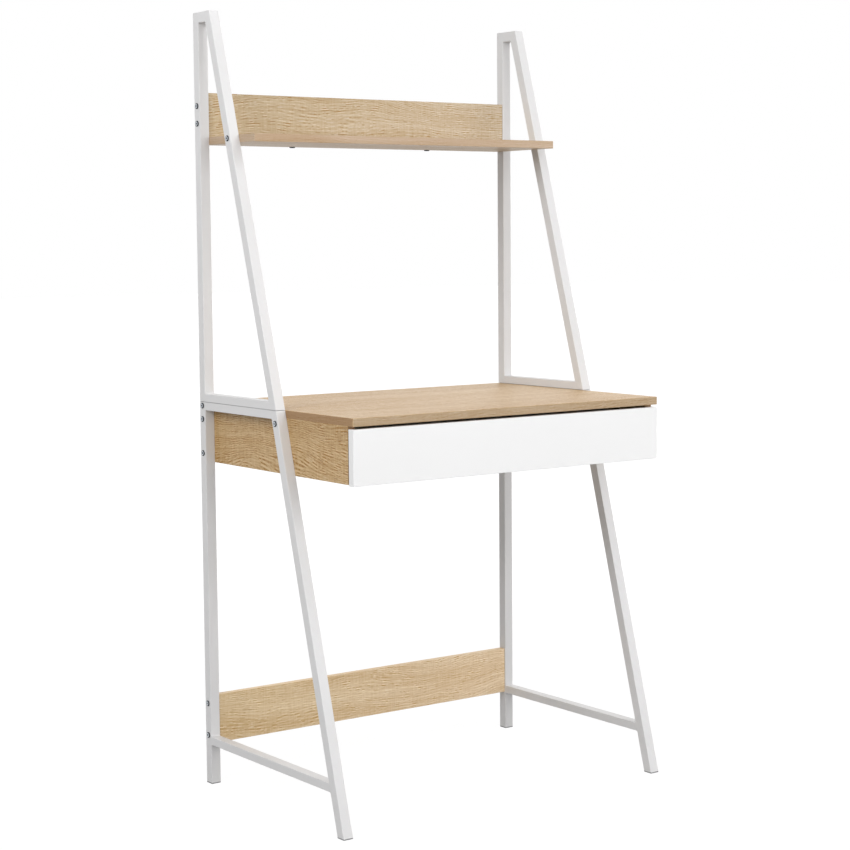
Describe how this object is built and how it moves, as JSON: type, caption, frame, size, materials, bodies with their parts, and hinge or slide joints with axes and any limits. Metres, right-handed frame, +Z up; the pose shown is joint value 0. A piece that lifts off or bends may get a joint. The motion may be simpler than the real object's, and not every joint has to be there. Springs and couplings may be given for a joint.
{
  "type": "ladder desk",
  "caption": "Ladder desk with leaning white tube side frames, oak-faced boards, a high shelf, a low back panel and a wide drawer without a handle that slides on roller runners.",
  "frame": {"origin": "on the floor, under the middle of the desk's width and depth", "axes": "+Z up, -Y towards the person at the desk, +X to that person's right"},
  "size_m": [0.754, 0.5, 1.488],
  "materials": {
    "frame_white": "semi-gloss white powder coat",
    "oak_board": "light oak foil on chipboard",
    "white_board": "satin white foil on chipboard",
    "drawer_white": "matt white foil on chipboard",
    "runner_white": "white coated sheet steel",
    "roller_nylon": "natural nylon",
    "zinc": "zinc plated",
    "foot_plastic": "moulded dark plastic",
    "beech": "plain fluted beech"
  },
  "bodies": {
    "desk": {"left_lower_upright": "frame_white", "right_lower_upright": "frame_white", "left_front_leg": "frame_white", "right_front_leg": "frame_white", "left_lower_top_rail": "frame_white", "right_lower_top_rail": "frame_white", "left_stretcher": "frame_white", "right_stretcher": "frame_white", "left_upper_upright": "frame_white", "right_upper_upright": "frame_white", "left_upper_front_tube": "frame_white", "right_upper_front_tube": "frame_white", "left_upper_bottom_rail": "frame_white", "right_upper_bottom_rail": "frame_white", "left_top_bar": "frame_white", "right_top_bar": "frame_white", "left_rear_foot": "foot_plastic", "right_rear_foot": "foot_plastic", "left_front_foot": "foot_plastic", "right_front_foot": "foot_plastic", "desk_top": "oak_board", "left_side_panel": "oak_board", "right_side_panel": "oak_board", "desk_rear_panel": "oak_board", "shelf": "oak_board", "shelf_back_panel": "oak_board", "lower_back_panel": "oak_board", "left_fixed_runner": "runner_white", "right_fixed_runner": "runner_white", "fixed_runner_screws": "zinc", "front_roller_axles": "zinc", "frame_bolts": "zinc", "shelf_bolts": "zinc", "threaded_inserts": "zinc", "storey_bolts": "zinc", "storey_nuts": "zinc", "desk_cam_locks": "zinc", "desk_cam_bolts": "zinc", "desk_dowels": "beech", "desk_panel_screws": "zinc"},
    "drawer": {"drawer_front": "white_board", "left_drawer_side": "drawer_white", "right_drawer_side": "drawer_white", "drawer_back": "drawer_white", "drawer_floor": "drawer_white", "left_drawer_runner": "runner_white", "right_drawer_runner": "runner_white", "drawer_runner_screws": "zinc", "rear_roller_axles": "zinc", "drawer_cam_locks": "zinc", "drawer_cam_bolts": "zinc", "drawer_back_screws": "zinc", "drawer_floor_screws": "zinc"},
    "left_front_roller": {"left_front_roller": "roller_nylon"},
    "right_front_roller": {"right_front_roller": "roller_nylon"},
    "left_rear_roller": {"left_rear_roller": "roller_nylon"},
    "right_rear_roller": {"right_rear_roller": "roller_nylon"}
  },
  "joints": [
    {"name": "drawer_slide", "type": "slide", "parent": "desk", "child": "drawer", "axis": [0, -1, 0], "range_m": [0, 0.29]},
    {"name": "left_front_roller_turn", "type": "hinge", "parent": "desk", "child": "left_front_roller", "pos_m": [-0.3346, -0.217, 0.65385], "axis": [1, 0, 0], "continuous": true},
    {"name": "right_front_roller_turn", "type": "hinge", "parent": "desk", "child": "right_front_roller", "pos_m": [0.3346, -0.217, 0.65385], "axis": [1, 0, 0], "continuous": true},
    {"name": "left_rear_roller_turn", "type": "hinge", "parent": "drawer", "child": "left_rear_roller", "pos_m": [-0.3329, 0.143, 0.65135], "axis": [1, 0, 0], "continuous": true},
    {"name": "right_rear_roller_turn", "type": "hinge", "parent": "drawer", "child": "right_rear_roller", "pos_m": [0.3329, 0.143, 0.65135], "axis": [1, 0, 0], "continuous": true}
  ],
  "couplings": [
    {"joint": "left_front_roller_turn", "follows": "drawer_slide", "rad_per_m": 100},
    {"joint": "right_front_roller_turn", "follows": "drawer_slide", "rad_per_m": 100},
    {"joint": "left_rear_roller_turn", "follows": "drawer_slide", "rad_per_m": 100},
    {"joint": "right_rear_roller_turn", "follows": "drawer_slide", "rad_per_m": 100}
  ]
}
